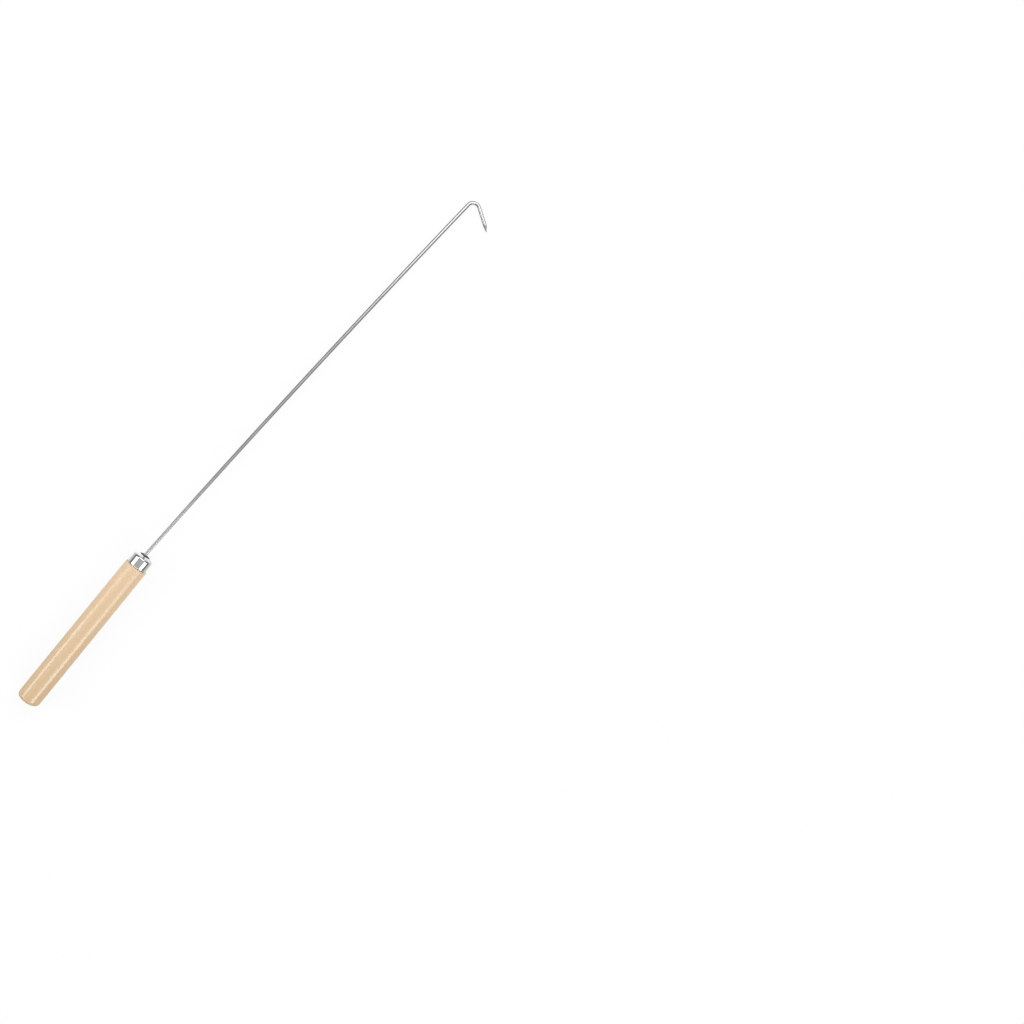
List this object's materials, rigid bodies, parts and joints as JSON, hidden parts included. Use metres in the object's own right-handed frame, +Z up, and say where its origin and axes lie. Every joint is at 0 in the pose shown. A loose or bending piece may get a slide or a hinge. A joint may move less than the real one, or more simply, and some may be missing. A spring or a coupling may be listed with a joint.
{
  "type": "marshmallow roasting fork",
  "caption": "Hand-held campfire roasting fork: round wooden dowel handle, plated end cap, and one long steel wire bent at its end into a single sharpened side hook.",
  "frame": {"origin": "middle of the whole fork's box, on the surface that it rests on", "axes": "+X along the handle's axis from the butt towards the hook, +Y to the handle's left when the hook points away, with the hook's prong towards -Y, +Z up from the surface that it lies on"},
  "size_m": [0.5642, 0.0602, 0.02],
  "materials": {
    "wood": "turned blond hardwood dowel with fine straight grain, sanded and clear lacquered",
    "plated_cap": "thin drawn steel, bright nickel plated and polished",
    "bright_wire": "bright drawn steel wire with faint lengthwise die lines, ground at the point",
    "glue": "cured pale grey epoxy adhesive"
  },
  "bodies": {
    "root": {"handle": "wood", "ferrule": "plated_cap", "hook_rod": "bright_wire", "tang_glue": "glue"}
  },
  "joints": []
}
